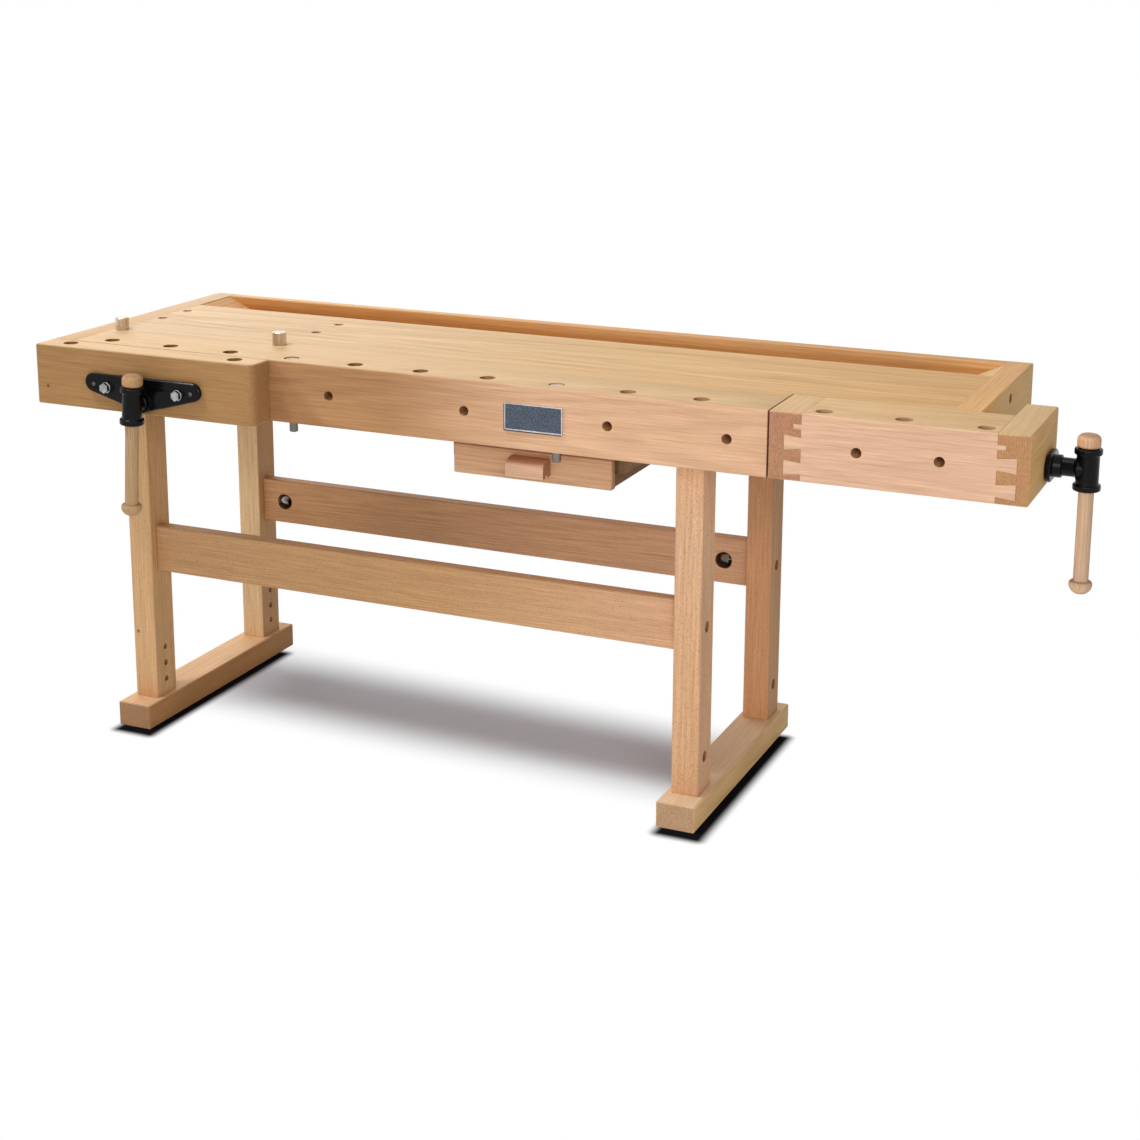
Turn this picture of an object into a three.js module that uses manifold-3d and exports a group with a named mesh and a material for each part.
// Joiner's bench with a front vise, a sliding tail vise, a tool tray and a drawer.
// Millimetres, +Z up. Pieces are placed in bench coordinates: x from the left end of the top,
// y from the face of the front beam towards the back, z from the floor. They are then shifted
// so that the origin lies under the middle of the whole bench.

import * as THREE from 'three';
import { mergeVertices } from 'three/addons/utils/BufferGeometryUtils.js';
import Module from 'manifold-3d';

const wasm = await Module();
wasm.setup();

// Bench top
const BENCH_HEIGHT = 870;
const TOP_LENGTH = 1932;
const TOP_DEPTH = 615;
const EDGE_HEIGHT = 126;
const BEAM_DEPTH = 120;
const PLATE_THICKNESS = 55;
const CAP_WIDTH = 50;
const CAP_BOLT_INSET = 61;
const CAP_BOLT_BITE = 60;
const RAIL_THICKNESS = 26;
const TRAY_WIDTH = 128;
const TRAY_FLOOR_THICKNESS = 12;
const TRAY_FLOOR_LAP = 20;
const RAIL_GROOVE = 9;
const RAMP_RUN = 75;
const RAMP_TOE = 3;

// Dog holes and dogs
const ROW_FIRST_X = 122.5;
const ROW_PITCH = 146.25;
const ROW_COUNT = 10;
const ROW_INSET = 33.5;
const COLUMN_XS = [69.5, 465];
const COLUMN_YS = [141, 289, 384];
const COLUMN_HOLE_RADIUS = 10;
const DOG_SEAT_RADIUS = 15.25;
const DOG_SEAT_DEPTH = 28.8;
const DOG_BORE_RADIUS = 9.5;
const FACE_HOLE_XS = [664, 965, 1264.5, 1500.5];
const FACE_HOLE_DROP = 62;
const FACE_HOLE_DEPTH = 60;
const DOG_HEAD_RADIUS = 14.5;
const DOG_HEAD_HEIGHT = 27;
const DOG_SHAFT_RADIUS = 8.75;
const DOG_SHAFT_LENGTH = 123;
const FLUSH_DOG_XS = [560, 1145];

// Base
const FOOT_WIDTH = 80;
const FOOT_HEIGHT = 54;
const FOOT_FRONT_Y = 43;
const FOOT_OVERHANG = 24;
const FOOT_XS = [85, 1356];
const LEG_WIDTH = 56;
const LEG_DEPTH = 72;
const LEG_FRONT_Y = 93.5;
const LEG_REAR_INSET = 18;
const TENON_WIDTH = 20;
const TENON_SHOULDER = 9;
const FOOT_TENON = 40;
const BEARER_TENON = 30;
const STRETCHER_THICKNESS = 30;
const STRETCHER_HEIGHT = 102;
const STRETCHER_BOTTOM_Z = 344;
const POCKET_RADIUS = 17.5;
const POCKET_DEPTH = 23;
const POCKET_SETBACK = 58;
const LOW_HOLE_Z = 126;
const DOWEL_OFFSET = 37.5;
const DOWEL_HOLE_RADIUS = 5;
const DOWEL_HOLE_DEPTH = 30;
const BOLT_SINK_RADIUS = 10;
const BOLT_SINK_DEPTH = 22;
const BOLT_RADIUS = 5;
const BOLT_HEAD_FLATS = 16;
const BOLT_HEAD_HEIGHT = 7;
const BOLT_REACH = 13;

// Front vise
const JAW_LENGTH = 527;
const JAW_THICKNESS = 62;
const JAW_CORNER_RADIUS = 18;
const JAW_HOLE_XS = [62, 464.5];
const JAW_HOLE_INSET = 36;
const FRONT_SCREW_X = 268;
const FRONT_SCREW_DROP = 97;
const FRONT_TRAVEL = 200;
const FRONT_LEAN = 3.5;
const GUIDE_SPACING = 174;
const GUIDE_DROP = 75;
const GUIDE_RADIUS = 12;
const GUIDE_BOLT_FLATS = 21;
const GUIDE_BOLT_HEAD = 8;
const GUIDE_BOLT_RADIUS = 6;
const GUIDE_BOLT_GRIP = 26;
const WASHER_RADIUS = 14;
const WASHER_THICKNESS = 2;
const FLANGE_LENGTH = 280;
const FLANGE_END_RADIUS = 19;
const FLANGE_END_RISE = 30;
const FLANGE_BOSS_RADIUS = 22;
const FLANGE_BOSS_HEIGHT = 5;
const FLANGE_THICKNESS = 10;
const FLANGE_BEVEL = 2;
const FRONT_TEE_STANDOFF = 43;
const NUT_PLATE_LENGTH = 210;
const NUT_PLATE_HEIGHT = 60;
const NUT_PLATE_THICKNESS = 12;
const NUT_RADIUS = 24;
const NUT_LENGTH = 33;

// Screws, tee heads and handles, the same on both vises
const SCREW_RADIUS = 14;
const SCREW_COLLAR_RADIUS = 22;
const SCREW_COLLAR_LENGTH = 10;
const SCREW_SPIGOT_RADIUS = 10;
const SCREW_SPIGOT_LENGTH = 12;
const SCREW_OVERRUN = 10;
const NECK_RADIUS = 17;
const TEE_RADIUS = 20.5;
const TEE_RIM_RADIUS = 25;
const TEE_HEIGHT = 78;
const TEE_RIM_HEIGHT = 12;
const HANDLE_RADIUS = 13.75;
const HANDLE_LENGTH = 297;
const KNOB_RADIUS = 21;
const KNOB_LENGTH = 25;
const KNOB_ROUND = 9;
const KNOB_SPIGOT_RADIUS = 9;
const KNOB_SPIGOT_LENGTH = 14;

// Tail vise
const BEAM_END_X = 1578;
const TAIL_GAP = 3;
const TAIL_DEPTH = 146;
const TAIL_SIDE_CLEARANCE = 2;
const TAIL_END_CLEARANCE = 61;
const TAIL_BOARD_THICKNESS = 66;
const END_BLOCK_THICKNESS = 57;
const END_BLOCK_DEPTH = 248;
const CHEEK_THICKNESS = 60;
const CORE_HEIGHT = 55;
const TAIL_TRAVEL = 170;
const DOVETAIL_LENGTH = 35;
const CHEEK_DOVETAIL_LENGTH = 32;
const DOVETAIL_WIDE = 29;
const DOVETAIL_NARROW = 21;
const DOVETAIL_COUNT = 2;
const DOVETAIL_TOP_MARGIN = 32;
const FINGER_LENGTH = 15;
const FINGER_HEIGHT = 9.5;
const FINGER_DROP = 25;
const TONGUE_DEPTH = 10;
const TONGUE_HEIGHT = 11;
const TONGUE_DROP = 26;
const TONGUE_PLAY = 1;
const TAIL_HOLE_FIRST = 92;
const TAIL_HOLE_COUNT = 3;
const TAIL_FACE_HOLES = [162.5, 312];
const TAIL_SCREW_Y = 177;
const TAIL_SCREW_DROP = 92;
const TAIL_TEE_STANDOFF = 69;
const TAIL_FLANGE_LENGTH = 92;
const TAIL_FLANGE_HEIGHT = 52;
const TAIL_COLLAR_RADIUS = 21;
const TAIL_COLLAR_LENGTH = 14;
const TAIL_GUIDE_OFFSET = 48;
const TAIL_GUIDE_RADIUS = 10;
const TAIL_GUIDE_SEAT = 40;
const TAIL_NUT_PLATE = 56;

// Drawer
const DRAWER_LEFT_X = 895;
const DRAWER_WIDTH = 342;
const DRAWER_DROP = 28;
const DRAWER_HEIGHT = 60;
const DRAWER_FRONT_Y = 92;
const DRAWER_DEPTH = 380;
const DRAWER_FRONT_THICKNESS = 18;
const DRAWER_SIDE_THICKNESS = 14;
const DRAWER_SIDE_INSET = 6;
const DRAWER_SIDE_DROP = 6;
const DRAWER_BOTTOM_THICKNESS = 6;
const DRAWER_BOTTOM_RISE = 7;
const DRAWER_BOTTOM_GROOVE = 5;
const PULL_LENGTH = 96;
const PULL_HEIGHT = 40;
const PULL_DEPTH = 25;
const PULL_ROUND = 16;
const PULL_HOLLOW = 5;
const PULL_RAISE = 3;
const RUNNER_HEIGHT = 10;
const RUNNER_DEPTH = 6;
const RUNNER_DROP = 22;
const HANGER_THICKNESS = 20;
const HANGER_LENGTH = 300;

// Clearances and eased edges
const FIT = 0.25;
const RUN = 0.5;
const BORE_PLAY = 1;
const JAW_CLEARANCE = 0.5;
const EASE = 2;
const HOLE_SIDES = 14;
const ROUND_SIDES = 28;

// Levels and lines that several pieces share
const TOP_UNDERSIDE_Z = BENCH_HEIGHT - EDGE_HEIGHT;
const PLATE_UNDERSIDE_Z = BENCH_HEIGHT - PLATE_THICKNESS;
const RAIL_FRONT_Y = TOP_DEPTH - RAIL_THICKNESS;
const PLATE_BACK_Y = RAIL_FRONT_Y - TRAY_WIDTH;
const CAP_RIGHT_X = TOP_LENGTH - CAP_WIDTH;
const NOTCH_Y = TAIL_DEPTH + TAIL_SIDE_CLEARANCE;
const FLOOR_BOTTOM_Z = PLATE_UNDERSIDE_Z - TRAY_FLOOR_THICKNESS;
const TAIL_LEFT_X = BEAM_END_X + TAIL_GAP;
const END_BLOCK_X = TOP_LENGTH + TAIL_END_CLEARANCE;
const TAIL_RIGHT_X = END_BLOCK_X + END_BLOCK_THICKNESS;
const CHEEK_RIGHT_X = TAIL_LEFT_X + CHEEK_THICKNESS;
const TONGUE_Z = BENCH_HEIGHT - TONGUE_DROP;
const JAW_BACK_Y = -JAW_CLEARANCE;
const JAW_FRONT_Y = JAW_BACK_Y - JAW_THICKNESS;
const FRONT_SCREW_Z = BENCH_HEIGHT - FRONT_SCREW_DROP;
const FRONT_TEE_Y = JAW_FRONT_Y - FRONT_TEE_STANDOFF;
const TAIL_SCREW_Z = BENCH_HEIGHT - TAIL_SCREW_DROP;
const TAIL_TEE_X = TAIL_RIGHT_X + TAIL_TEE_STANDOFF;
const TAIL_GUIDE_Y = TAIL_SCREW_Y + TAIL_GUIDE_OFFSET;
const GUIDE_Z = BENCH_HEIGHT - GUIDE_DROP;
const GUIDE_XS = [FRONT_SCREW_X - GUIDE_SPACING / 2, FRONT_SCREW_X + GUIDE_SPACING / 2];
const STRETCHER_BOLT_Z = STRETCHER_BOTTOM_Z + STRETCHER_HEIGHT / 2;
const LEG_INSET = (FOOT_WIDTH - LEG_WIDTH) / 2;
const LEG_REAR_Y = TOP_DEPTH - LEG_REAR_INSET - LEG_DEPTH;
const FOOT_BACK_Y = TOP_DEPTH + FOOT_OVERHANG;

const LEFT_X = 0;
const RIGHT_X = TAIL_TEE_X + TEE_RIM_RADIUS;
const FRONT_Y = FRONT_TEE_Y - TEE_RIM_RADIUS;

const FINISHES = {
  beech: { color: 0xdcb98c, roughness: 0.55, metalness: 0 },
  cast_iron: { color: 0x17181a, roughness: 0.35, metalness: 0.6 },
  zinc: { color: 0xb9bcc0, roughness: 0.35, metalness: 0.9 },
  steel: { color: 0x9a9ca0, roughness: 0.3, metalness: 0.95 },
};

const bench = new THREE.Group();
bench.name = 'woodworking_bench';

// Turns a three.js geometry into a solid that can be cut or joined.
function solid(geometry) {
  geometry.deleteAttribute('normal');
  geometry.deleteAttribute('uv');
  const merged = mergeVertices(geometry, 1e-4);
  const source = merged.index.array;
  const corners = [];
  for (let i = 0; i < source.length; i += 3) {
    const [a, b, c] = [source[i], source[i + 1], source[i + 2]];
    if (a !== b && b !== c && c !== a) corners.push(a, b, c);
  }
  const mesh = new wasm.Mesh({
    numProp: 3,
    vertProperties: Float32Array.from(merged.attributes.position.array),
    triVerts: Uint32Array.from(corners),
  });
  return new wasm.Manifold(mesh);
}

// Adds a finished solid to the bench as a named piece.
function piece(name, body, finish, place = new THREE.Matrix4()) {
  const mesh = body.getMesh();
  const geometry = new THREE.BufferGeometry();
  const positions = new THREE.BufferAttribute(Float32Array.from(mesh.vertProperties), 3);
  geometry.setAttribute('position', positions);
  geometry.setIndex(new THREE.BufferAttribute(Uint32Array.from(mesh.triVerts), 1));
  geometry.applyMatrix4(place);
  geometry.translate(-(LEFT_X + RIGHT_X) / 2, -(FRONT_Y + FOOT_BACK_Y) / 2, 0);
  geometry.computeVertexNormals();
  const result = new THREE.Mesh(geometry, new THREE.MeshStandardMaterial(FINISHES[finish]));
  result.name = name;
  bench.add(result);
}

// Sections are drawn as (y, z) along x, as (z, x) along y and as (x, y) along z.
const ALONG = {
  x: [new THREE.Vector3(0, 1, 0), new THREE.Vector3(0, 0, 1), new THREE.Vector3(1, 0, 0)],
  y: [new THREE.Vector3(0, 0, 1), new THREE.Vector3(1, 0, 0), new THREE.Vector3(0, 1, 0)],
  z: [new THREE.Vector3(1, 0, 0), new THREE.Vector3(0, 1, 0), new THREE.Vector3(0, 0, 1)],
};

function turnTo(geometry, axis) {
  return geometry.applyMatrix4(new THREE.Matrix4().makeBasis(...ALONG[axis]));
}

function prism(axis, points, from, to, bevel = 0) {
  const shape = new THREE.Shape(points.map(([u, v]) => new THREE.Vector2(u, v)));
  const geometry = new THREE.ExtrudeGeometry(shape, {
    depth: to - from - 2 * bevel,
    bevelEnabled: bevel > 0,
    bevelThickness: bevel,
    bevelSize: bevel,
    bevelOffset: -bevel,
    bevelSegments: 1,
  });
  return solid(turnTo(geometry.translate(0, 0, from + bevel), axis));
}

// A rectangle with its own chamfer at each corner: low-low, high-low, high-high, low-high.
function easedRectangle([u0, u1], [v0, v1], [a, b, c, d]) {
  const points = [[u0, v0 + a], [u0 + a, v0], [u1 - b, v0], [u1, v0 + b]];
  points.push([u1, v1 - c], [u1 - c, v1], [u0 + d, v1], [u0, v1 - d]);
  return points.filter(([u, v], i) => {
    const [pu, pv] = points[(i + points.length - 1) % points.length];
    return u !== pu || v !== pv;
  });
}

// A straight board, eased along its length where asked, its ends eased by `ends`.
function board(axis, xs, ys, zs, corners = [0, 0, 0, 0], ends = 0) {
  const spans = { x: [ys, zs, xs], y: [zs, xs, ys], z: [xs, ys, zs] }[axis];
  return prism(axis, easedRectangle(spans[0], spans[1], corners), spans[2][0], spans[2][1], ends);
}

function box(xs, ys, zs) {
  const size = [xs, ys, zs].map(([low, high]) => high - low);
  const middle = [xs, ys, zs].map(([low, high]) => (low + high) / 2);
  return solid(new THREE.BoxGeometry(...size).translate(...middle));
}

// A cylinder along an axis; `at` is its place in the section's own two coordinates.
function rod(axis, radius, at, from, to, sides = HOLE_SIDES) {
  const geometry = new THREE.CylinderGeometry(radius, radius, to - from, sides);
  geometry.rotateX(Math.PI / 2).translate(at[0], at[1], (from + to) / 2);
  return solid(turnTo(geometry, axis));
}

// A cutter for a round hole: its flats lie on the radius, so that a shaft of that size passes.
function hole(axis, radius, at, from, to, sides = HOLE_SIDES) {
  return rod(axis, radius / Math.cos(Math.PI / sides), at, from, to, sides);
}

// A turned piece: profile points are (radius, place along the axis), going up the outside.
function turned(axis, profile, at, sides = ROUND_SIDES) {
  const points = profile.map(([radius, along]) => new THREE.Vector2(radius, along));
  const geometry = new THREE.LatheGeometry(points, sides);
  geometry.rotateX(Math.PI / 2).translate(at[0], at[1], 0);
  return solid(turnTo(geometry, axis));
}

function hexagon(axis, flats, at, from, to) {
  return rod(axis, flats / Math.sqrt(3), at, from, to, 6);
}

function cut(body, tools) {
  return tools.reduce((left, tool) => left.subtract(tool), body);
}

function join(bodies) {
  return bodies.reduce((whole, body) => whole.add(body));
}

function span(a, b) {
  return [Math.min(a, b), Math.max(a, b)];
}

// A cutter for the chamfer on one long edge: the edge's place and the way it points.
function arris(axis, [u, v], [du, dv], from, to) {
  const reach = EASE + 1;
  return prism(axis, [[u + du, v - dv * reach], [u - du * reach, v + dv], [u + du, v + dv]], from, to);
}

function arc(u, v, radius, fromDegrees, toDegrees, steps) {
  const points = [];
  for (let i = 0; i <= steps; i += 1) {
    const angle = THREE.MathUtils.degToRad(fromDegrees + ((toDegrees - fromDegrees) * i) / steps);
    points.push([u + radius * Math.cos(angle), v + radius * Math.sin(angle)]);
  }
  return points;
}

// A dog hole from the top: a wide seat for the head and a bore for the shaft below it.
function dogHole(x, y, bottom) {
  const seatZ = BENCH_HEIGHT - DOG_SEAT_DEPTH;
  return [
    hole('z', DOG_SEAT_RADIUS, [x, y], seatZ, BENCH_HEIGHT + 1, HOLE_SIDES + 4),
    hole('z', DOG_BORE_RADIUS, [x, y], bottom, seatZ + 1),
  ];
}

// A blind hole in the front face for a dog or a board rest.
function faceHole(x) {
  return hole('y', DOG_BORE_RADIUS, [BENCH_HEIGHT - FACE_HOLE_DROP, x], -1, FACE_HOLE_DEPTH);
}

// A bolt along x, its head sunk in the face it enters; `inward` is +1 or -1.
function crossBolt(at, face, inward, length) {
  const seat = face + inward * (BOLT_SINK_DEPTH - FIT);
  const head = span(seat, seat - inward * BOLT_HEAD_HEIGHT);
  const shank = span(seat - inward, seat + inward * length);
  return join([hexagon('x', BOLT_HEAD_FLATS, at, ...head), rod('x', BOLT_RADIUS, at, ...shank)]);
}

function crossBoltHoles(at, face, inward, through) {
  return [
    hole('x', BOLT_SINK_RADIUS, at, ...span(face - inward, face + inward * BOLT_SINK_DEPTH)),
    hole('x', BOLT_RADIUS + RUN, at, ...span(face, face + inward * through)),
  ];
}

// Front beam: carries the dog row, the face holes and the bores of the front vise.
const rowXs = Array.from({ length: ROW_COUNT }, (_, i) => ROW_FIRST_X + i * ROW_PITCH);
const screwRoof = FRONT_SCREW_Z + SCREW_RADIUS + DOG_BORE_RADIUS;
const frontScrewAt = [FRONT_SCREW_Z, FRONT_SCREW_X];
const beamCuts = rowXs.flatMap((x) => {
  const overScrew = Math.abs(x - FRONT_SCREW_X) < SCREW_RADIUS + DOG_BORE_RADIUS;
  return dogHole(x, ROW_INSET, overScrew ? screwRoof : TOP_UNDERSIDE_Z - 1);
});
beamCuts.push(...FACE_HOLE_XS.map(faceHole));
beamCuts.push(hole('y', SCREW_RADIUS + BORE_PLAY, frontScrewAt, -1, BEAM_DEPTH + 1));
GUIDE_XS.forEach((x) => {
  beamCuts.push(hole('y', GUIDE_RADIUS + RUN, [GUIDE_Z, x], -1, BEAM_DEPTH + 1));
});
const beamBlank = board(
  'x', [CAP_WIDTH + FIT, BEAM_END_X], [0, BEAM_DEPTH], [TOP_UNDERSIDE_Z, BENCH_HEIGHT],
  [EASE, EASE, 0, EASE],
);
piece('front_beam', cut(beamBlank, beamCuts), 'beech');

// Bench plate, notched at the right for the tail vise and grooved for its tongue.
const tongueGroove = box(
  [TAIL_LEFT_X, TOP_LENGTH + 1],
  [NOTCH_Y - 1, NOTCH_Y + TONGUE_DEPTH],
  [TONGUE_Z - TONGUE_HEIGHT / 2 - TONGUE_PLAY, TONGUE_Z + TONGUE_HEIGHT / 2 + TONGUE_PLAY],
);
const plateBlank = prism('z', [
  [CAP_WIDTH + FIT, BEAM_DEPTH + FIT], [BEAM_END_X, BEAM_DEPTH + FIT], [BEAM_END_X, NOTCH_Y],
  [CAP_RIGHT_X - FIT, NOTCH_Y], [CAP_RIGHT_X - FIT, PLATE_BACK_Y], [CAP_WIDTH + FIT, PLATE_BACK_Y],
], PLATE_UNDERSIDE_Z, BENCH_HEIGHT);
const columnHoles = COLUMN_XS.flatMap((x) => COLUMN_YS.map((y) => (
  hole('z', COLUMN_HOLE_RADIUS, [x, y], PLATE_UNDERSIDE_Z - 1, BENCH_HEIGHT + 1))));
const capBoltAt = [PLATE_BACK_Y - CAP_BOLT_INSET, BENCH_HEIGHT - PLATE_THICKNESS / 2];
const capBoltBores = [0, TOP_LENGTH].map((face) => hole(
  'x', BOLT_RADIUS + RUN, capBoltAt, ...span(face, Math.abs(face - CAP_WIDTH - CAP_BOLT_BITE)),
));
const trayArris = arris('x', [PLATE_BACK_Y, BENCH_HEIGHT], [1, 1], CAP_WIDTH, CAP_RIGHT_X);
const plateCuts = [...columnHoles, ...capBoltBores, tongueGroove, trayArris];
piece('bench_plate', cut(plateBlank, plateCuts), 'beech');

// End caps close the ends of the beam, plate, tray and rail, each held by a sunk bolt.
const tailScrewAt = [TAIL_SCREW_Y, TAIL_SCREW_Z];
const tailGuideAt = [TAIL_GUIDE_Y, TAIL_SCREW_Z];
const caps = [
  { side: 'left', xs: [0, CAP_WIDTH], front: 0, face: 0, inward: 1, eases: [EASE, EASE, 0, 0] },
  {
    side: 'right', xs: [CAP_RIGHT_X, TOP_LENGTH], front: NOTCH_Y, face: TOP_LENGTH, inward: -1,
    eases: [0, 0, EASE, EASE],
  },
];
caps.forEach(({ side, xs, front, face, inward, eases }) => {
  const cuts = crossBoltHoles(capBoltAt, face, inward, CAP_WIDTH + 1);
  if (side === 'right') {
    cuts.push(hole('x', SCREW_RADIUS + BORE_PLAY, tailScrewAt, xs[0] - 1, xs[1] + 1));
    cuts.push(hole('x', TAIL_GUIDE_RADIUS + RUN, tailGuideAt, xs[0] - 1, xs[1] + 1));
    cuts.push(tongueGroove);
  }
  const zs = [TOP_UNDERSIDE_Z, BENCH_HEIGHT];
  piece(`end_cap_${side}`, cut(board('y', xs, [front, TOP_DEPTH], zs, eases), cuts), 'beech');
  const bolt = crossBolt(capBoltAt, face, inward, CAP_WIDTH - BOLT_SINK_DEPTH + CAP_BOLT_BITE - 2);
  piece(`end_cap_bolt_${side}`, bolt, 'zinc');
});

// Tool tray: a back rail, a floor board let into it, and a sloping block at each end.
const innerXs = [CAP_WIDTH + FIT, CAP_RIGHT_X - FIT];
const railGroove = box(
  [CAP_WIDTH, CAP_RIGHT_X], [RAIL_FRONT_Y - 1, RAIL_FRONT_Y + RAIL_GROOVE],
  [FLOOR_BOTTOM_Z - FIT, PLATE_UNDERSIDE_Z],
);
const railBlank = board(
  'x', innerXs, [RAIL_FRONT_Y, TOP_DEPTH], [TOP_UNDERSIDE_Z, BENCH_HEIGHT], [EASE, EASE, EASE, EASE],
);
piece('back_rail', cut(railBlank, [railGroove]), 'beech');
piece('tray_floor', box(
  innerXs, [PLATE_BACK_Y - TRAY_FLOOR_LAP, RAIL_FRONT_Y + RAIL_GROOVE - FIT],
  [FLOOR_BOTTOM_Z, PLATE_UNDERSIDE_Z - FIT],
), 'beech');
[['left', innerXs[0], 1], ['right', innerXs[1], -1]].forEach(([side, x, inward]) => {
  piece(`tray_ramp_${side}`, prism('y', [
    [PLATE_UNDERSIDE_Z, x], [PLATE_UNDERSIDE_Z, x + inward * RAMP_RUN],
    [PLATE_UNDERSIDE_Z + RAMP_TOE, x + inward * RAMP_RUN], [BENCH_HEIGHT - EASE, x],
  ], PLATE_BACK_Y + FIT, RAIL_FRONT_Y - FIT), 'beech');
});

// Base: two trestles of foot, two legs and a bearer, joined by mortise and tenon.
const bearerYs = [BEAM_DEPTH + FIT, RAIL_FRONT_Y - FIT];
const floorStepY = PLATE_BACK_Y - TRAY_FLOOR_LAP - FIT;
const legRows = [['front', LEG_FRONT_Y], ['rear', LEG_REAR_Y]];
const roundEases = [EASE, EASE, EASE, EASE];
['left', 'right'].forEach((side, i) => {
  const footXs = [FOOT_XS[i], FOOT_XS[i] + FOOT_WIDTH];
  const legXs = [footXs[0] + LEG_INSET, footXs[1] - LEG_INSET];
  const middleX = (footXs[0] + footXs[1]) / 2;
  const [face, inner, inward] = side === 'left' ? [...legXs, 1] : [legXs[1], legXs[0], -1];
  const tenonXs = (gap) => [middleX - TENON_WIDTH / 2 - gap, middleX + TENON_WIDTH / 2 + gap];
  const footMortises = [];
  const bearerMortises = [];

  legRows.forEach(([row, y]) => {
    const legYs = [y, y + LEG_DEPTH];
    const legZs = [FOOT_HEIGHT + FIT, TOP_UNDERSIDE_Z - FIT];
    const footTenon = (gap) => box(
      tenonXs(gap), [legYs[0] + TENON_SHOULDER - gap, legYs[1] - TENON_SHOULDER + gap],
      [legZs[0] - FOOT_TENON - gap, legZs[0] + 1],
    );
    const bearerTenon = (gap) => box(
      tenonXs(gap),
      [
        Math.max(legYs[0], bearerYs[0]) + TENON_SHOULDER - gap,
        Math.min(legYs[1], bearerYs[1]) - TENON_SHOULDER + gap,
      ],
      [legZs[1] - 1, legZs[1] + BEARER_TENON + gap],
    );
    footMortises.push(footTenon(FIT));
    bearerMortises.push(bearerTenon(FIT));

    const middleY = y + LEG_DEPTH / 2;
    const boltHoles = [STRETCHER_BOLT_Z, LOW_HOLE_Z].flatMap((z) => (
      crossBoltHoles([middleY, z], face, inward, LEG_WIDTH + 1)));
    const dowelHoles = [-DOWEL_OFFSET, DOWEL_OFFSET].map((offset) => hole(
      'x', DOWEL_HOLE_RADIUS, [middleY, LOW_HOLE_Z + offset],
      ...span(inner + inward, inner - inward * DOWEL_HOLE_DEPTH),
    ));
    const post = join([
      board('z', legXs, legYs, legZs, roundEases), footTenon(0), bearerTenon(0),
    ]);
    piece(`leg_${side}_${row}`, cut(post, [...boltHoles, ...dowelHoles]), 'beech');

    const boltLength = LEG_WIDTH - BOLT_SINK_DEPTH + POCKET_SETBACK - POCKET_RADIUS + BOLT_REACH;
    const bolt = crossBolt([middleY, STRETCHER_BOLT_Z], face, inward, boltLength);
    piece(`stretcher_bolt_${side}_${row}`, bolt, 'zinc');
  });

  const footYs = [FOOT_FRONT_Y, FOOT_BACK_Y];
  const footBlank = board('y', footXs, footYs, [0, FOOT_HEIGHT], roundEases, EASE);
  piece(`foot_${side}`, cut(footBlank, footMortises), 'beech');

  const bearerBlank = prism('x', [
    [bearerYs[0], TOP_UNDERSIDE_Z], [bearerYs[1], TOP_UNDERSIDE_Z],
    [bearerYs[1], FLOOR_BOTTOM_Z - FIT], [floorStepY, FLOOR_BOTTOM_Z - FIT],
    [floorStepY, PLATE_UNDERSIDE_Z - FIT], [bearerYs[0], PLATE_UNDERSIDE_Z - FIT],
  ], ...legXs);
  piece(`top_bearer_${side}`, cut(bearerBlank, bearerMortises), 'beech');
});

// Stretchers: bored at each end for a bolt that meets its nut in a round pocket.
const stretcherXs = [FOOT_XS[0] + FOOT_WIDTH - LEG_INSET + FIT, FOOT_XS[1] + LEG_INSET - FIT];
const stretcherZs = [STRETCHER_BOTTOM_Z, STRETCHER_BOTTOM_Z + STRETCHER_HEIGHT];
legRows.forEach(([row, y]) => {
  const middleY = y + LEG_DEPTH / 2;
  const ys = [middleY - STRETCHER_THICKNESS / 2, middleY + STRETCHER_THICKNESS / 2];
  const pocketYs = row === 'front' ? [ys[1] - POCKET_DEPTH, ys[1] + 1] : [ys[0] - 1, ys[0] + POCKET_DEPTH];
  const cuts = [[stretcherXs[0], 1], [stretcherXs[1], -1]].flatMap(([x, inward]) => {
    const pocketX = x + inward * (POCKET_SETBACK - FIT);
    return [
      hole('y', POCKET_RADIUS, [STRETCHER_BOLT_Z, pocketX], ...pocketYs, HOLE_SIDES + 6),
      hole('x', BOLT_RADIUS + RUN, [middleY, STRETCHER_BOLT_Z], ...span(x - inward, pocketX)),
    ];
  });
  const blank = board('x', stretcherXs, ys, stretcherZs, roundEases);
  piece(`stretcher_${row}`, cut(blank, cuts), 'beech');
});

// Front vise jaw, rounded at its free corner, with a dog hole at each end.
const jawZs = [TOP_UNDERSIDE_Z, BENCH_HEIGHT];
const jawOutline = [
  [0, JAW_BACK_Y], [0, JAW_FRONT_Y],
  ...arc(JAW_LENGTH - JAW_CORNER_RADIUS, JAW_FRONT_Y + JAW_CORNER_RADIUS, JAW_CORNER_RADIUS, -90, 0, 6),
  [JAW_LENGTH, JAW_BACK_Y],
];
const jawHoleY = JAW_FRONT_Y + JAW_HOLE_INSET;
const throughJaw = [JAW_FRONT_Y - 1, JAW_BACK_Y + 1];
const collarSink = SCREW_COLLAR_LENGTH + BORE_PLAY;
const jawCuts = JAW_HOLE_XS.flatMap((x) => dogHole(x, jawHoleY, TOP_UNDERSIDE_Z - 1));
jawCuts.push(hole('y', SCREW_RADIUS + BORE_PLAY, frontScrewAt, ...throughJaw));
jawCuts.push(hole(
  'y', SCREW_COLLAR_RADIUS + BORE_PLAY, frontScrewAt, JAW_FRONT_Y - 1, JAW_FRONT_Y + collarSink,
));
GUIDE_XS.forEach((x) => jawCuts.push(hole('y', GUIDE_RADIUS + FIT, [GUIDE_Z, x], ...throughJaw)));
piece('front_jaw', cut(prism('z', jawOutline, ...jawZs, EASE), jawCuts), 'beech');

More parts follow.
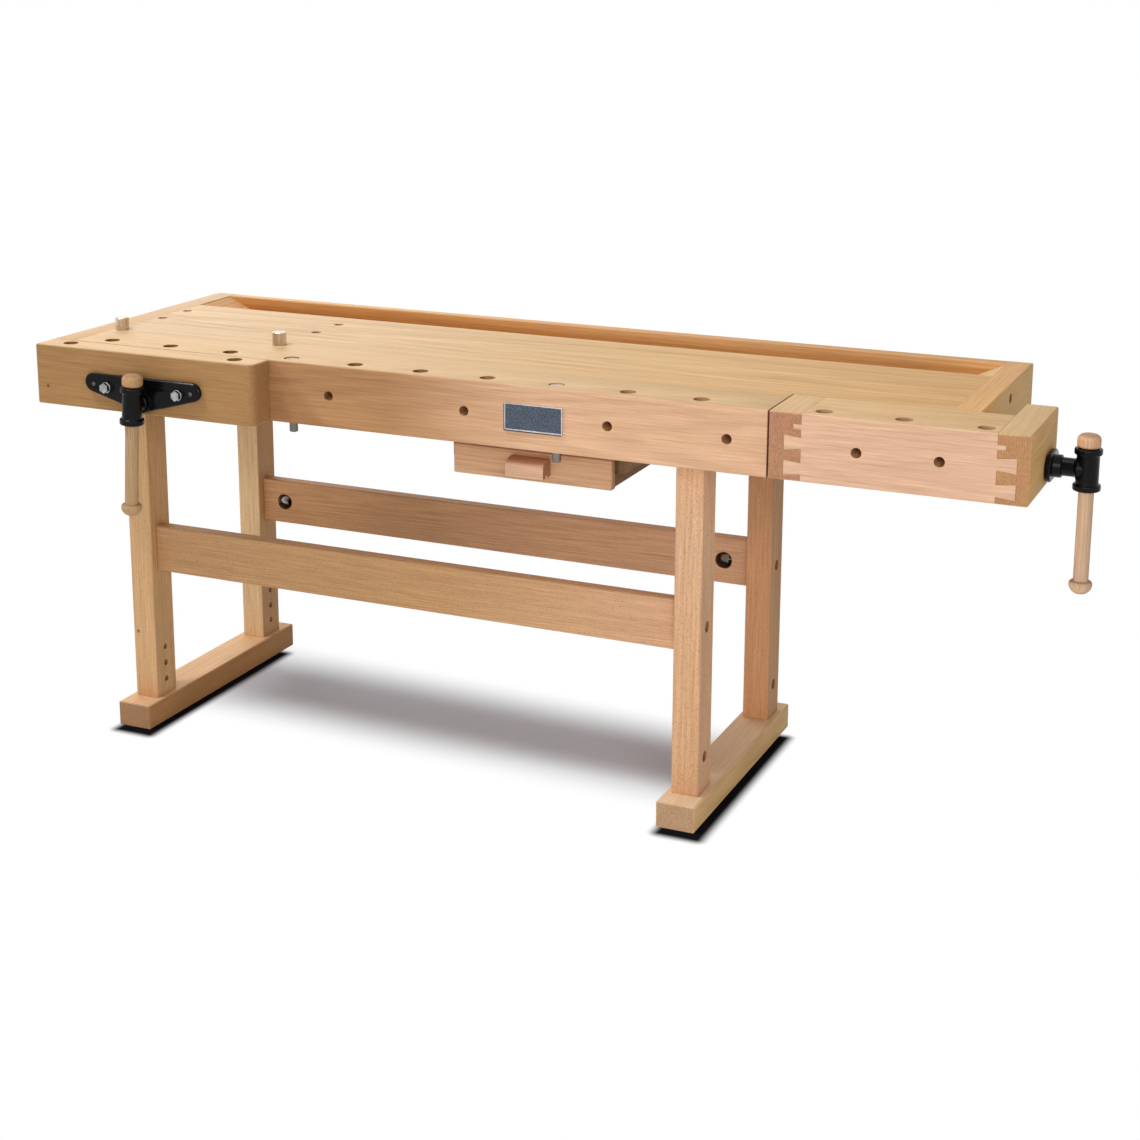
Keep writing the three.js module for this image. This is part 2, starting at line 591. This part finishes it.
// Cast flange on the jaw: a straight top edge, round ends and a belly around the screw.
const flangeEndX = FLANGE_LENGTH / 2 - FLANGE_END_RADIUS;
const flankTilt = Math.atan2(FLANGE_END_RISE, flangeEndX);
const flankSwing = Math.acos(
  (FLANGE_BOSS_RADIUS - FLANGE_END_RADIUS) / Math.hypot(flangeEndX, FLANGE_END_RISE),
);
const flankAngle = THREE.MathUtils.radToDeg(flankTilt - flankSwing);
const flangeOutline = [
  ...arc(flangeEndX, FLANGE_END_RISE, FLANGE_END_RADIUS, 90, flankAngle, 8),
  ...arc(0, 0, FLANGE_BOSS_RADIUS, flankAngle, -180 - flankAngle, 8),
  ...arc(-flangeEndX, FLANGE_END_RISE, FLANGE_END_RADIUS, 180 - flankAngle, 90, 8),
].map(([x, z]) => [FRONT_SCREW_Z + z, FRONT_SCREW_X + x]);
const flangeYs = [JAW_FRONT_Y - FIT - FLANGE_THICKNESS, JAW_FRONT_Y - FIT];
const flangeBossY = flangeYs[0] - FLANGE_BOSS_HEIGHT;
const flangeBlank = join([
  prism('y', flangeOutline, ...flangeYs, FLANGE_BEVEL),
  rod('y', FLANGE_BOSS_RADIUS, frontScrewAt, flangeBossY, flangeYs[1] - 1, ROUND_SIDES),
]);
const throughFlange = [flangeBossY - 1, flangeYs[1] + 1];
piece('front_flange', cut(flangeBlank, [
  hole('y', NECK_RADIUS + RUN, frontScrewAt, ...throughFlange, ROUND_SIDES),
  ...GUIDE_XS.map((x) => hole('y', GUIDE_BOLT_RADIUS + RUN, [GUIDE_Z, x], ...throughFlange)),
]), 'cast_iron');

// Guide rods slide through the beam; a bolt through the flange holds each to the jaw.
const nutPlateYs = [BEAM_DEPTH + FIT, BEAM_DEPTH + FIT + NUT_PLATE_THICKNESS];
const frontReach = FRONT_TRAVEL + SCREW_OVERRUN;
GUIDE_XS.forEach((x, i) => {
  const side = ['left', 'right'][i];
  const at = [GUIDE_Z, x];
  const start = JAW_FRONT_Y + FIT;
  const guide = rod('y', GUIDE_RADIUS, at, start, nutPlateYs[1] + frontReach, ROUND_SIDES - 8);
  const socket = hole('y', GUIDE_BOLT_RADIUS + RUN, at, start - 1, start + GUIDE_BOLT_GRIP);
  piece(`guide_rod_${side}`, cut(guide, [socket]), 'steel');
  const washerY = flangeYs[0] - FIT - WASHER_THICKNESS;
  piece(`guide_bolt_${side}`, join([
    rod('y', WASHER_RADIUS, at, washerY, flangeYs[0] - FIT, ROUND_SIDES - 8),
    hexagon('y', GUIDE_BOLT_FLATS, at, washerY - GUIDE_BOLT_HEAD, washerY + 1),
    rod('y', GUIDE_BOLT_RADIUS, at, washerY, start + GUIDE_BOLT_GRIP - 2),
  ]), 'zinc');
});

// Nut plate behind the beam: the screw's nut and the bushes of the guide rods in one casting.
const nutPlateXs = [FRONT_SCREW_X - NUT_PLATE_LENGTH / 2, FRONT_SCREW_X + NUT_PLATE_LENGTH / 2];
const nutPlateZs = [FRONT_SCREW_Z - NUT_RADIUS, FRONT_SCREW_Z - NUT_RADIUS + NUT_PLATE_HEIGHT];
const nutBackY = nutPlateYs[1] + NUT_LENGTH;
const throughNut = [nutPlateYs[0] - 1, nutBackY + 1];
piece('front_nut_plate', cut(join([
  board('y', nutPlateXs, nutPlateYs, nutPlateZs, [EASE * 4, EASE * 4, EASE * 4, EASE * 4]),
  rod('y', NUT_RADIUS, frontScrewAt, nutPlateYs[1] - 1, nutBackY, ROUND_SIDES),
]), [
  hole('y', SCREW_RADIUS + RUN, frontScrewAt, ...throughNut),
  ...GUIDE_XS.map((x) => hole('y', GUIDE_RADIUS + RUN, [GUIDE_Z, x], ...throughNut)),
]), 'cast_iron');

// Vise screws: a spigot in the tee head, a collar trapped by the flange, then the thread.
function screwProfile(collarFrom, tip, direction) {
  const collarTo = collarFrom + direction * SCREW_COLLAR_LENGTH;
  const spigot = collarFrom - direction * SCREW_SPIGOT_LENGTH;
  const points = [
    [0, spigot], [SCREW_SPIGOT_RADIUS, spigot], [SCREW_SPIGOT_RADIUS, collarFrom],
    [SCREW_COLLAR_RADIUS, collarFrom], [SCREW_COLLAR_RADIUS, collarTo], [SCREW_RADIUS, collarTo],
    [SCREW_RADIUS, tip - direction * 2 * EASE], [SCREW_RADIUS - EASE, tip], [0, tip],
  ];
  return direction > 0 ? points : points.reverse();
}
const frontTip = nutBackY + frontReach;
const frontScrew = turned('y', screwProfile(JAW_FRONT_Y + FIT, frontTip, 1), frontScrewAt);
piece('front_screw', frontScrew, 'steel');

// Tee head, sliding handle and its loose knob, drawn with the handle upright at the origin
// and the neck along +y, then put in place on each vise.
const teeHalf = TEE_HEIGHT / 2;
const teeBore = HANDLE_RADIUS + RUN;
const knobSeatZ = teeHalf + FIT;
const handleBottomZ = knobSeatZ + KNOB_LENGTH - HANDLE_LENGTH;

function knobSide(z) {
  const top = z + KNOB_LENGTH;
  return [
    [KNOB_RADIUS - KNOB_ROUND, z], [KNOB_RADIUS - KNOB_ROUND / 3, z + KNOB_ROUND / 3],
    [KNOB_RADIUS, z + KNOB_ROUND], [KNOB_RADIUS, top - KNOB_ROUND],
    [KNOB_RADIUS - KNOB_ROUND / 3, top - KNOB_ROUND / 3], [KNOB_RADIUS - KNOB_ROUND, top],
  ];
}

function teeAndHandle(prefix, neckLength, place) {
  const tube = turned('z', [
    [0, -teeHalf], [TEE_RIM_RADIUS - EASE, -teeHalf], [TEE_RIM_RADIUS, EASE - teeHalf],
    [TEE_RIM_RADIUS, TEE_RIM_HEIGHT - 2 * EASE - teeHalf], [TEE_RADIUS, TEE_RIM_HEIGHT + EASE - teeHalf],
    [TEE_RADIUS, teeHalf - TEE_RIM_HEIGHT - EASE], [TEE_RIM_RADIUS, teeHalf - TEE_RIM_HEIGHT + 2 * EASE],
    [TEE_RIM_RADIUS, teeHalf - EASE], [TEE_RIM_RADIUS - EASE, teeHalf], [0, teeHalf],
  ], [0, 0]);
  const neck = rod('y', NECK_RADIUS, [0, 0], TEE_RADIUS / 2, neckLength, ROUND_SIDES);
  const bore = hole('z', teeBore, [0, 0], -teeHalf - 1, teeHalf + 1, ROUND_SIDES);
  const socket = hole(
    'y', SCREW_SPIGOT_RADIUS + FIT, [0, 0], neckLength - SCREW_SPIGOT_LENGTH - FIT, neckLength + 1,
  );
  piece(`${prefix}_tee_head`, cut(join([tube, neck]), [bore, socket]), 'cast_iron', place);

  const handle = turned('z', [
    [0, handleBottomZ], ...knobSide(handleBottomZ), [HANDLE_RADIUS, handleBottomZ + KNOB_LENGTH],
    [HANDLE_RADIUS, teeHalf], [KNOB_SPIGOT_RADIUS, teeHalf],
    [KNOB_SPIGOT_RADIUS, knobSeatZ + KNOB_SPIGOT_LENGTH], [0, knobSeatZ + KNOB_SPIGOT_LENGTH],
  ], [0, 0], ROUND_SIDES - 8);
  piece(`${prefix}_handle`, handle, 'beech', place);

  const knob = turned('z', [
    [0, knobSeatZ], ...knobSide(knobSeatZ), [0, knobSeatZ + KNOB_LENGTH],
  ], [0, 0], ROUND_SIDES - 8);
  const knobHole = hole(
    'z', KNOB_SPIGOT_RADIUS + FIT, [0, 0], knobSeatZ - 1, knobSeatZ + KNOB_SPIGOT_LENGTH + FIT,
  );
  piece(`${prefix}_handle_knob`, cut(knob, [knobHole]), 'beech', place);
}

const frontPlace = new THREE.Matrix4().makeTranslation(FRONT_SCREW_X, FRONT_TEE_Y, FRONT_SCREW_Z);
frontPlace.multiply(new THREE.Matrix4().makeRotationY(THREE.MathUtils.degToRad(FRONT_LEAN)));
teeAndHandle('front', FRONT_TEE_STANDOFF - FIT, frontPlace);

// Tail vise front board: its ends are tails, let into the cheek and the end block.
const shoulderXs = [CHEEK_RIGHT_X + FIT, END_BLOCK_X - FIT];
const tailZone = EDGE_HEIGHT - DOVETAIL_TOP_MARGIN;
const fingerZ = BENCH_HEIGHT - FINGER_DROP;

// Tails and finger on one end, as outlines in (z, x), grown by `gap` for their sockets.
function endJoints(shoulder, outward, length, gap) {
  const root = shoulder - outward;
  const outlines = [];
  for (let i = 0; i < DOVETAIL_COUNT; i += 1) {
    const z = TOP_UNDERSIDE_Z + (tailZone / DOVETAIL_COUNT) * (i + 0.5);
    const tip = shoulder + outward * (length + gap);
    outlines.push([
      [z - DOVETAIL_NARROW / 2 - gap, root], [z - DOVETAIL_NARROW / 2 - gap, shoulder],
      [z - DOVETAIL_WIDE / 2 - gap, tip], [z + DOVETAIL_WIDE / 2 + gap, tip],
      [z + DOVETAIL_NARROW / 2 + gap, shoulder], [z + DOVETAIL_NARROW / 2 + gap, root],
    ]);
  }
  const low = fingerZ - FINGER_HEIGHT / 2 - gap;
  const high = fingerZ + FINGER_HEIGHT / 2 + gap;
  const fingerTip = shoulder + outward * (FINGER_LENGTH + gap);
  outlines.push([[low, root], [low, fingerTip], [high, fingerTip], [high, root]]);
  return outlines;
}
const tailJoints = (gap, ys) => [
  ...endJoints(shoulderXs[0], -1, CHEEK_DOVETAIL_LENGTH, gap),
  ...endJoints(shoulderXs[1], 1, DOVETAIL_LENGTH, gap),
].map((outline) => prism('y', outline, ...ys));
const sockets = tailJoints(FIT, [-1, TAIL_BOARD_THICKNESS + FIT]);
const tailZs = [TOP_UNDERSIDE_Z, BENCH_HEIGHT];
const frontArrises = [[BENCH_HEIGHT, 1], [TOP_UNDERSIDE_Z, -1]].map(([z, up]) => (
  arris('x', [0, z], [-1, up], TAIL_LEFT_X - 1, TAIL_RIGHT_X + 1)));
const tailCuts = [...frontArrises];
for (let i = 0; i < TAIL_HOLE_COUNT; i += 1) {
  const x = TAIL_LEFT_X + TAIL_HOLE_FIRST + i * ROW_PITCH;
  tailCuts.push(...dogHole(x, ROW_INSET, TOP_UNDERSIDE_Z - 1));
}
tailCuts.push(...TAIL_FACE_HOLES.map((offset) => faceHole(TAIL_LEFT_X + offset)));
const tailBoardYs = [0, TAIL_BOARD_THICKNESS];
const tailBoard = join([box(shoulderXs, tailBoardYs, tailZs), ...tailJoints(0, tailBoardYs)]);
piece('tail_front_board', cut(tailBoard, tailCuts), 'beech');

piece('tail_inner_cheek', cut(
  box([TAIL_LEFT_X, CHEEK_RIGHT_X], [0, TAIL_DEPTH], tailZs), [...sockets, ...frontArrises],
), 'beech');

// Core board behind the front board, with the tongue that hangs the vise on the bench top.
const coreZs = [BENCH_HEIGHT - CORE_HEIGHT, BENCH_HEIGHT];
piece('tail_core_board', join([
  box(shoulderXs, [TAIL_BOARD_THICKNESS + FIT, TAIL_DEPTH], coreZs),
  box(
    shoulderXs, [TAIL_DEPTH - 1, TAIL_DEPTH + TONGUE_DEPTH],
    [TONGUE_Z - TONGUE_HEIGHT / 2, TONGUE_Z + TONGUE_HEIGHT / 2],
  ),
]), 'beech');

// End block: takes the thrust of the screw and holds the guide rod.
const outerArrises = [
  arris('y', [BENCH_HEIGHT, TAIL_RIGHT_X], [1, 1], -1, END_BLOCK_DEPTH + 1),
  arris('y', [TOP_UNDERSIDE_Z, TAIL_RIGHT_X], [-1, 1], -1, END_BLOCK_DEPTH + 1),
  arris('z', [TAIL_RIGHT_X, 0], [1, -1], TOP_UNDERSIDE_Z - 1, BENCH_HEIGHT + 1),
  arris('z', [TAIL_RIGHT_X, END_BLOCK_DEPTH], [1, 1], TOP_UNDERSIDE_Z - 1, BENCH_HEIGHT + 1),
];
const endBlock = box([END_BLOCK_X, TAIL_RIGHT_X], [0, END_BLOCK_DEPTH], tailZs);
piece('tail_end_block', cut(endBlock, [
  ...sockets, ...frontArrises, ...outerArrises,
  hole('x', SCREW_RADIUS + BORE_PLAY, tailScrewAt, END_BLOCK_X - 1, TAIL_RIGHT_X + 1),
  hole('x', SCREW_COLLAR_RADIUS + BORE_PLAY, tailScrewAt, TAIL_RIGHT_X - collarSink, TAIL_RIGHT_X + 1),
  hole('x', TAIL_GUIDE_RADIUS + FIT, tailGuideAt, END_BLOCK_X - 1, END_BLOCK_X + TAIL_GUIDE_SEAT),
]), 'beech');

// Tail vise hardware: nut on the end cap, guide rod, screw, flange with its collar, tee head.
const tailNutXs = [CAP_RIGHT_X - FIT - NUT_PLATE_THICKNESS, CAP_RIGHT_X - FIT];
const tailNutLeft = tailNutXs[0] - NUT_LENGTH;
const nutHalf = TAIL_NUT_PLATE / 2;
piece('tail_nut', cut(join([
  box(
    tailNutXs, [TAIL_SCREW_Y - nutHalf, TAIL_SCREW_Y + nutHalf],
    [TAIL_SCREW_Z - nutHalf, TAIL_SCREW_Z + nutHalf],
  ),
  rod('x', NUT_RADIUS, tailScrewAt, tailNutLeft, tailNutXs[0] + 1, ROUND_SIDES),
]), [hole('x', SCREW_RADIUS + RUN, tailScrewAt, tailNutLeft - 1, CAP_RIGHT_X)]), 'cast_iron');

const tailTip = tailNutLeft - TAIL_TRAVEL - SCREW_OVERRUN;
const tailGuideXs = [tailTip, END_BLOCK_X + TAIL_GUIDE_SEAT - FIT];
piece('tail_guide_rod', rod('x', TAIL_GUIDE_RADIUS, tailGuideAt, ...tailGuideXs, ROUND_SIDES - 8), 'steel');
const tailScrew = turned('x', screwProfile(TAIL_RIGHT_X - FIT, tailTip, -1), tailScrewAt);
piece('tail_screw', tailScrew, 'steel');

const tailFlangeXs = [TAIL_RIGHT_X + FIT, TAIL_RIGHT_X + FIT + FLANGE_THICKNESS];
const tailFlangeRound = TAIL_FLANGE_HEIGHT / 2;
const tailFlangeReach = TAIL_FLANGE_LENGTH / 2 - tailFlangeRound;
const tailCollarEnd = tailFlangeXs[1] + TAIL_COLLAR_LENGTH;
piece('tail_flange', cut(join([
  prism('x', [
    ...arc(TAIL_SCREW_Y + tailFlangeReach, TAIL_SCREW_Z, tailFlangeRound, -90, 90, 12),
    ...arc(TAIL_SCREW_Y - tailFlangeReach, TAIL_SCREW_Z, tailFlangeRound, 90, 270, 12),
  ], ...tailFlangeXs, FLANGE_BEVEL),
  rod('x', TAIL_COLLAR_RADIUS, tailScrewAt, tailFlangeXs[0] + 1, tailCollarEnd, ROUND_SIDES),
]), [
  hole('x', NECK_RADIUS + RUN, tailScrewAt, tailFlangeXs[0] - 1, tailCollarEnd + 1, ROUND_SIDES),
]), 'cast_iron');

const tailPlace = new THREE.Matrix4().makeTranslation(TAIL_TEE_X, TAIL_SCREW_Y, TAIL_SCREW_Z);
tailPlace.multiply(new THREE.Matrix4().makeRotationZ(Math.PI / 2));
teeAndHandle('tail', TAIL_TEE_STANDOFF - FIT, tailPlace);

// Drawer: front, two grooved sides, back, loose bottom and a wooden pull.
const drawerXs = [DRAWER_LEFT_X, DRAWER_LEFT_X + DRAWER_WIDTH];
const drawerFrontYs = [DRAWER_FRONT_Y, DRAWER_FRONT_Y + DRAWER_FRONT_THICKNESS];
const drawerBackY = DRAWER_FRONT_Y + DRAWER_DEPTH;
const drawerTopZ = TOP_UNDERSIDE_Z - DRAWER_DROP;
const drawerBottomZ = drawerTopZ - DRAWER_HEIGHT;
const drawerSideZs = [drawerBottomZ, drawerTopZ - DRAWER_SIDE_DROP];
const panelLowZ = drawerBottomZ + DRAWER_BOTTOM_RISE;
const panelZs = [panelLowZ, panelLowZ + DRAWER_BOTTOM_THICKNESS];
const boxXs = [drawerXs[0] + DRAWER_SIDE_INSET, drawerXs[1] - DRAWER_SIDE_INSET];
const insideXs = [boxXs[0] + DRAWER_SIDE_THICKNESS, boxXs[1] - DRAWER_SIDE_THICKNESS];
const panelGroove = box(
  [insideXs[0] - DRAWER_BOTTOM_GROOVE, insideXs[1] + DRAWER_BOTTOM_GROOVE],
  [drawerFrontYs[1] - DRAWER_BOTTOM_GROOVE, drawerBackY + 1],
  [panelZs[0] - FIT, panelZs[1] + FIT],
);
const runnerZ = drawerTopZ - RUNNER_DROP;
const drawerFront = board('x', drawerXs, drawerFrontYs, [drawerBottomZ, drawerTopZ], roundEases, EASE);
piece('drawer_front', cut(drawerFront, [panelGroove]), 'beech');
piece('drawer_bottom', box(
  [insideXs[0] - DRAWER_BOTTOM_GROOVE + FIT, insideXs[1] + DRAWER_BOTTOM_GROOVE - FIT],
  [drawerFrontYs[1] - DRAWER_BOTTOM_GROOVE + FIT, drawerBackY], panelZs,
), 'beech');
piece('drawer_back', box(
  [insideXs[0] + FIT, insideXs[1] - FIT], [drawerBackY - DRAWER_SIDE_THICKNESS, drawerBackY],
  [panelZs[1] + FIT, drawerSideZs[1]],
), 'beech');

// Each side runs on a tongue of its hanger, a board fixed under the bench plate.
const hangerYs = [BEAM_DEPTH + BORE_PLAY, BEAM_DEPTH + BORE_PLAY + HANGER_LENGTH];
[['left', boxXs[0], 1], ['right', boxXs[1], -1]].forEach(([side, x, inward]) => {
  const sideBlank = box(
    span(x, x + inward * DRAWER_SIDE_THICKNESS), [drawerFrontYs[1] + FIT, drawerBackY], drawerSideZs,
  );
  const runnerGroove = box(
    span(x - inward, x + inward * (RUNNER_DEPTH + RUN)), [drawerFrontYs[1], drawerBackY + 1],
    [runnerZ - RUNNER_HEIGHT / 2 - RUN, runnerZ + RUNNER_HEIGHT / 2 + RUN],
  );
  piece(`drawer_side_${side}`, cut(sideBlank, [panelGroove, runnerGroove]), 'beech');
  const hangerX = x - inward * BORE_PLAY;
  piece(`drawer_hanger_${side}`, join([
    box(
      span(hangerX, hangerX - inward * HANGER_THICKNESS), hangerYs,
      [runnerZ - RUNNER_HEIGHT, PLATE_UNDERSIDE_Z - FIT],
    ),
    box(
      span(hangerX - inward, x + inward * RUNNER_DEPTH), hangerYs,
      [runnerZ - RUNNER_HEIGHT / 2, runnerZ + RUNNER_HEIGHT / 2],
    ),
  ]), 'beech');
});

// Pull: a block with a rounded upper edge and a finger hollow along its underside.
const pullMiddleX = (drawerXs[0] + drawerXs[1]) / 2;
const pullBackY = DRAWER_FRONT_Y - FIT;
const pullFrontY = pullBackY - PULL_DEPTH;
const pullTopZ = (drawerBottomZ + drawerTopZ + PULL_HEIGHT) / 2 + PULL_RAISE;
const pullBottomZ = pullTopZ - PULL_HEIGHT;
piece('drawer_pull', prism('x', [
  [pullBackY, pullTopZ],
  ...arc(pullFrontY + PULL_ROUND, pullTopZ - PULL_ROUND, PULL_ROUND, 90, 180, 6),
  [pullFrontY, pullBottomZ + 2 * EASE], [pullFrontY + 2 * EASE, pullBottomZ],
  ...arc(pullFrontY + 2 * EASE + 2 * PULL_HOLLOW, pullBottomZ, PULL_HOLLOW, 180, 0, 6),
  [pullBackY, pullBottomZ],
], pullMiddleX - PULL_LENGTH / 2, pullMiddleX + PULL_LENGTH / 2, EASE), 'beech');

// Dogs: two lowered flush into the row, two standing in the plate near the front vise.
function dog(name, x, y, headZ) {
  const headTop = headZ + DOG_HEAD_HEIGHT;
  const tip = headZ - DOG_SHAFT_LENGTH;
  piece(name, turned('z', [
    [0, tip], [DOG_SHAFT_RADIUS - EASE, tip], [DOG_SHAFT_RADIUS, tip + EASE], [DOG_SHAFT_RADIUS, headZ],
    [DOG_HEAD_RADIUS, headZ], [DOG_HEAD_RADIUS, headTop - EASE], [DOG_HEAD_RADIUS - EASE, headTop],
    [0, headTop],
  ], [x, y], ROUND_SIDES - 8), 'steel');
}
['left', 'right'].forEach((side, i) => {
  const distance = (x) => Math.abs(x - FLUSH_DOG_XS[i]);
  const rowX = rowXs.reduce((nearest, x) => (distance(x) < distance(nearest) ? x : nearest));
  dog(`dog_row_${side}`, rowX, ROW_INSET, BENCH_HEIGHT - DOG_SEAT_DEPTH + FIT);
  dog(`dog_top_${side}`, COLUMN_XS[i], COLUMN_YS[0], BENCH_HEIGHT + FIT);
});

export default bench;
